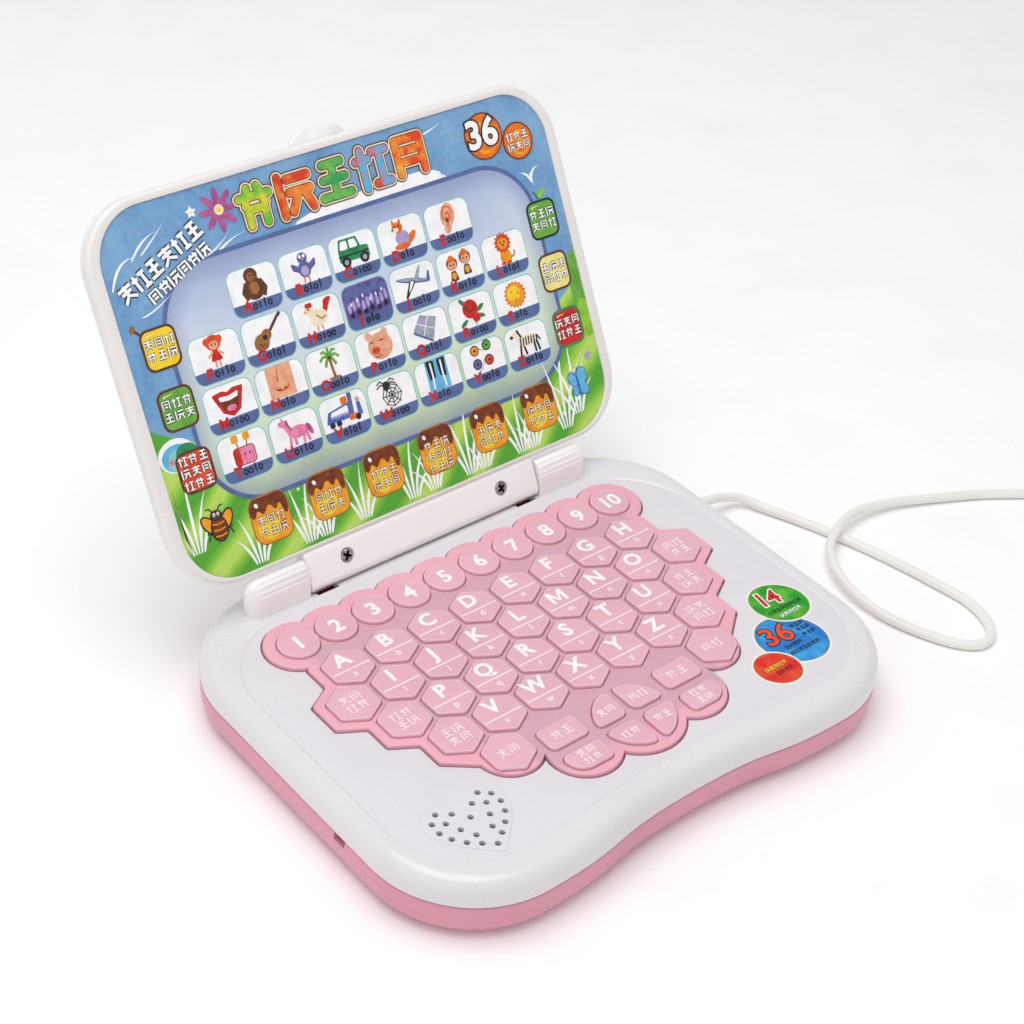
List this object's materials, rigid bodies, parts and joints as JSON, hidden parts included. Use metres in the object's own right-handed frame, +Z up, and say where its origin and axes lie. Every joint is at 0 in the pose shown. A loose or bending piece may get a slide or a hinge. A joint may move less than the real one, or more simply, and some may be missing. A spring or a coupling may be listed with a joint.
{
  "type": "toy laptop",
  "caption": "Fold-open toy laptop with a printed picture lid, a pink rubber letter-key mat in a white shell, and a corded toy mouse.",
  "frame": {"origin": "middle of the base's underside, on the floor", "axes": "+Z up, +X to the right-hand side of a child at the keys, the front edge faces -Y and the lid stands open at +Y"},
  "size_m": [0.4825, 0.2396, 0.1705],
  "materials": {
    "white_shell": "moulded white ABS, polished",
    "pink_shell": "moulded pink ABS, semi-gloss",
    "pink_rubber": "moulded silicone rubber, satin",
    "pink_rubber_keys": "moulded silicone rubber, satin, printed legends",
    "warm_white_lid": "moulded warm white ABS, polished",
    "printed_sheet": "printed and laminated film",
    "circuit_board": "solder-mask green",
    "speaker_cone": "coated paper cone",
    "battery_sleeve": "shrink-wrapped steel can",
    "pin_steel": "ground",
    "screw_steel": "zinc plated, dulled",
    "cord_vinyl": "extruded white vinyl"
  },
  "bodies": {
    "base": {"top_case": "white_shell", "bottom_case": "pink_shell", "key_mat": "pink_rubber", "main_board": "circuit_board", "speaker": "speaker_cone", "battery_door": "pink_shell", "battery_1": "battery_sleeve", "battery_2": "battery_sleeve", "battery_3": "battery_sleeve", "cord_grommet": "cord_vinyl", "mouse_cord": "cord_vinyl", "mouse_bottom": "pink_shell", "mouse_top": "white_shell"},
    "lid": {"lid_front": "warm_white_lid", "lid_back": "warm_white_lid", "picture_sheet": "printed_sheet", "hinge_pin_left": "pin_steel", "hinge_pin_right": "pin_steel", "lid_screw_left": "screw_steel", "lid_screw_right": "screw_steel"},
    "key_1_body": {"key_1": "pink_rubber_keys"},
    "key_2_body": {"key_2": "pink_rubber_keys"},
    "key_3_body": {"key_3": "pink_rubber_keys"},
    "key_4_body": {"key_4": "pink_rubber_keys"},
    "key_5_body": {"key_5": "pink_rubber_keys"},
    "key_6_body": {"key_6": "pink_rubber_keys"},
    "key_7_body": {"key_7": "pink_rubber_keys"},
    "key_8_body": {"key_8": "pink_rubber_keys"},
    "key_9_body": {"key_9": "pink_rubber_keys"},
    "key_10_body": {"key_10": "pink_rubber_keys"},
    "key_a_body": {"key_a": "pink_rubber_keys"},
    "key_b_body": {"key_b": "pink_rubber_keys"},
    "key_c_body": {"key_c": "pink_rubber_keys"},
    "key_d_body": {"key_d": "pink_rubber_keys"},
    "key_e_body": {"key_e": "pink_rubber_keys"},
    "key_f_body": {"key_f": "pink_rubber_keys"},
    "key_g_body": {"key_g": "pink_rubber_keys"},
    "key_h_body": {"key_h": "pink_rubber_keys"},
    "key_i_body": {"key_i": "pink_rubber_keys"},
    "key_j_body": {"key_j": "pink_rubber_keys"},
    "key_k_body": {"key_k": "pink_rubber_keys"},
    "key_l_body": {"key_l": "pink_rubber_keys"},
    "key_m_body": {"key_m": "pink_rubber_keys"},
    "key_n_body": {"key_n": "pink_rubber_keys"},
    "key_o_body": {"key_o": "pink_rubber_keys"},
    "key_p_body": {"key_p": "pink_rubber_keys"},
    "key_q_body": {"key_q": "pink_rubber_keys"},
    "key_r_body": {"key_r": "pink_rubber_keys"},
    "key_s_body": {"key_s": "pink_rubber_keys"},
    "key_t_body": {"key_t": "pink_rubber_keys"},
    "key_u_body": {"key_u": "pink_rubber_keys"},
    "key_v_body": {"key_v": "pink_rubber_keys"},
    "key_w_body": {"key_w": "pink_rubber_keys"},
    "key_x_body": {"key_x": "pink_rubber_keys"},
    "key_y_body": {"key_y": "pink_rubber_keys"},
    "key_z_body": {"key_z": "pink_rubber_keys"},
    "mode_keys_left_body": {"mode_keys_left": "pink_rubber_keys"},
    "mode_keys_right_body": {"mode_keys_right": "pink_rubber_keys"},
    "front_keys_body": {"front_keys": "pink_rubber_keys"},
    "mouse_button_body": {"mouse_button": "pink_shell"}
  },
  "joints": [
    {"name": "base_to_lid_hinge", "type": "hinge", "parent": "base", "child": "lid", "pos_m": [0, 0.075, 0.0318], "axis": [1, 0, 0], "range_deg": [-12, 118.4]},
    {"name": "key_1_press", "type": "slide", "parent": "base", "child": "key_1_body", "axis": [0, 0, -1], "range_m": [0, 0.0012], "stiffness_N_per_m": 800},
    {"name": "key_2_press", "type": "slide", "parent": "base", "child": "key_2_body", "axis": [0, 0, -1], "range_m": [0, 0.0012], "stiffness_N_per_m": 800},
    {"name": "key_3_press", "type": "slide", "parent": "base", "child": "key_3_body", "axis": [0, 0, -1], "range_m": [0, 0.0012], "stiffness_N_per_m": 800},
    {"name": "key_4_press", "type": "slide", "parent": "base", "child": "key_4_body", "axis": [0, 0, -1], "range_m": [0, 0.0012], "stiffness_N_per_m": 800},
    {"name": "key_5_press", "type": "slide", "parent": "base", "child": "key_5_body", "axis": [0, 0, -1], "range_m": [0, 0.0012], "stiffness_N_per_m": 800},
    {"name": "key_6_press", "type": "slide", "parent": "base", "child": "key_6_body", "axis": [0, 0, -1], "range_m": [0, 0.0012], "stiffness_N_per_m": 800},
    {"name": "key_7_press", "type": "slide", "parent": "base", "child": "key_7_body", "axis": [0, 0, -1], "range_m": [0, 0.0012], "stiffness_N_per_m": 800},
    {"name": "key_8_press", "type": "slide", "parent": "base", "child": "key_8_body", "axis": [0, 0, -1], "range_m": [0, 0.0012], "stiffness_N_per_m": 800},
    {"name": "key_9_press", "type": "slide", "parent": "base", "child": "key_9_body", "axis": [0, 0, -1], "range_m": [0, 0.0012], "stiffness_N_per_m": 800},
    {"name": "key_10_press", "type": "slide", "parent": "base", "child": "key_10_body", "axis": [0, 0, -1], "range_m": [0, 0.0012], "stiffness_N_per_m": 800},
    {"name": "key_a_press", "type": "slide", "parent": "base", "child": "key_a_body", "axis": [0, 0, -1], "range_m": [0, 0.0012], "stiffness_N_per_m": 800},
    {"name": "key_b_press", "type": "slide", "parent": "base", "child": "key_b_body", "axis": [0, 0, -1], "range_m": [0, 0.0012], "stiffness_N_per_m": 800},
    {"name": "key_c_press", "type": "slide", "parent": "base", "child": "key_c_body", "axis": [0, 0, -1], "range_m": [0, 0.0012], "stiffness_N_per_m": 800},
    {"name": "key_d_press", "type": "slide", "parent": "base", "child": "key_d_body", "axis": [0, 0, -1], "range_m": [0, 0.0012], "stiffness_N_per_m": 800},
    {"name": "key_e_press", "type": "slide", "parent": "base", "child": "key_e_body", "axis": [0, 0, -1], "range_m": [0, 0.0012], "stiffness_N_per_m": 800},
    {"name": "key_f_press", "type": "slide", "parent": "base", "child": "key_f_body", "axis": [0, 0, -1], "range_m": [0, 0.0012], "stiffness_N_per_m": 800},
    {"name": "key_g_press", "type": "slide", "parent": "base", "child": "key_g_body", "axis": [0, 0, -1], "range_m": [0, 0.0012], "stiffness_N_per_m": 800},
    {"name": "key_h_press", "type": "slide", "parent": "base", "child": "key_h_body", "axis": [0, 0, -1], "range_m": [0, 0.0012], "stiffness_N_per_m": 800},
    {"name": "key_i_press", "type": "slide", "parent": "base", "child": "key_i_body", "axis": [0, 0, -1], "range_m": [0, 0.0012], "stiffness_N_per_m": 800},
    {"name": "key_j_press", "type": "slide", "parent": "base", "child": "key_j_body", "axis": [0, 0, -1], "range_m": [0, 0.0012], "stiffness_N_per_m": 800},
    {"name": "key_k_press", "type": "slide", "parent": "base", "child": "key_k_body", "axis": [0, 0, -1], "range_m": [0, 0.0012], "stiffness_N_per_m": 800},
    {"name": "key_l_press", "type": "slide", "parent": "base", "child": "key_l_body", "axis": [0, 0, -1], "range_m": [0, 0.0012], "stiffness_N_per_m": 800},
    {"name": "key_m_press", "type": "slide", "parent": "base", "child": "key_m_body", "axis": [0, 0, -1], "range_m": [0, 0.0012], "stiffness_N_per_m": 800},
    {"name": "key_n_press", "type": "slide", "parent": "base", "child": "key_n_body", "axis": [0, 0, -1], "range_m": [0, 0.0012], "stiffness_N_per_m": 800},
    {"name": "key_o_press", "type": "slide", "parent": "base", "child": "key_o_body", "axis": [0, 0, -1], "range_m": [0, 0.0012], "stiffness_N_per_m": 800},
    {"name": "key_p_press", "type": "slide", "parent": "base", "child": "key_p_body", "axis": [0, 0, -1], "range_m": [0, 0.0012], "stiffness_N_per_m": 800},
    {"name": "key_q_press", "type": "slide", "parent": "base", "child": "key_q_body", "axis": [0, 0, -1], "range_m": [0, 0.0012], "stiffness_N_per_m": 800},
    {"name": "key_r_press", "type": "slide", "parent": "base", "child": "key_r_body", "axis": [0, 0, -1], "range_m": [0, 0.0012], "stiffness_N_per_m": 800},
    {"name": "key_s_press", "type": "slide", "parent": "base", "child": "key_s_body", "axis": [0, 0, -1], "range_m": [0, 0.0012], "stiffness_N_per_m": 800},
    {"name": "key_t_press", "type": "slide", "parent": "base", "child": "key_t_body", "axis": [0, 0, -1], "range_m": [0, 0.0012], "stiffness_N_per_m": 800},
    {"name": "key_u_press", "type": "slide", "parent": "base", "child": "key_u_body", "axis": [0, 0, -1], "range_m": [0, 0.0012], "stiffness_N_per_m": 800},
    {"name": "key_v_press", "type": "slide", "parent": "base", "child": "key_v_body", "axis": [0, 0, -1], "range_m": [0, 0.0012], "stiffness_N_per_m": 800},
    {"name": "key_w_press", "type": "slide", "parent": "base", "child": "key_w_body", "axis": [0, 0, -1], "range_m": [0, 0.0012], "stiffness_N_per_m": 800},
    {"name": "key_x_press", "type": "slide", "parent": "base", "child": "key_x_body", "axis": [0, 0, -1], "range_m": [0, 0.0012], "stiffness_N_per_m": 800},
    {"name": "key_y_press", "type": "slide", "parent": "base", "child": "key_y_body", "axis": [0, 0, -1], "range_m": [0, 0.0012], "stiffness_N_per_m": 800},
    {"name": "key_z_press", "type": "slide", "parent": "base", "child": "key_z_body", "axis": [0, 0, -1], "range_m": [0, 0.0012], "stiffness_N_per_m": 800},
    {"name": "mode_keys_left_press", "type": "slide", "parent": "base", "child": "mode_keys_left_body", "axis": [0, 0, -1], "range_m": [0, 0.0012], "stiffness_N_per_m": 800},
    {"name": "mode_keys_right_press", "type": "slide", "parent": "base", "child": "mode_keys_right_body", "axis": [0, 0, -1], "range_m": [0, 0.0012], "stiffness_N_per_m": 800},
    {"name": "front_keys_press", "type": "slide", "parent": "base", "child": "front_keys_body", "axis": [0, 0, -1], "range_m": [0, 0.0012], "stiffness_N_per_m": 800},
    {"name": "mouse_button_press", "type": "slide", "parent": "base", "child": "mouse_button_body", "axis": [0, 0, -1], "range_m": [0, 0.0008], "stiffness_N_per_m": 900}
  ]
}
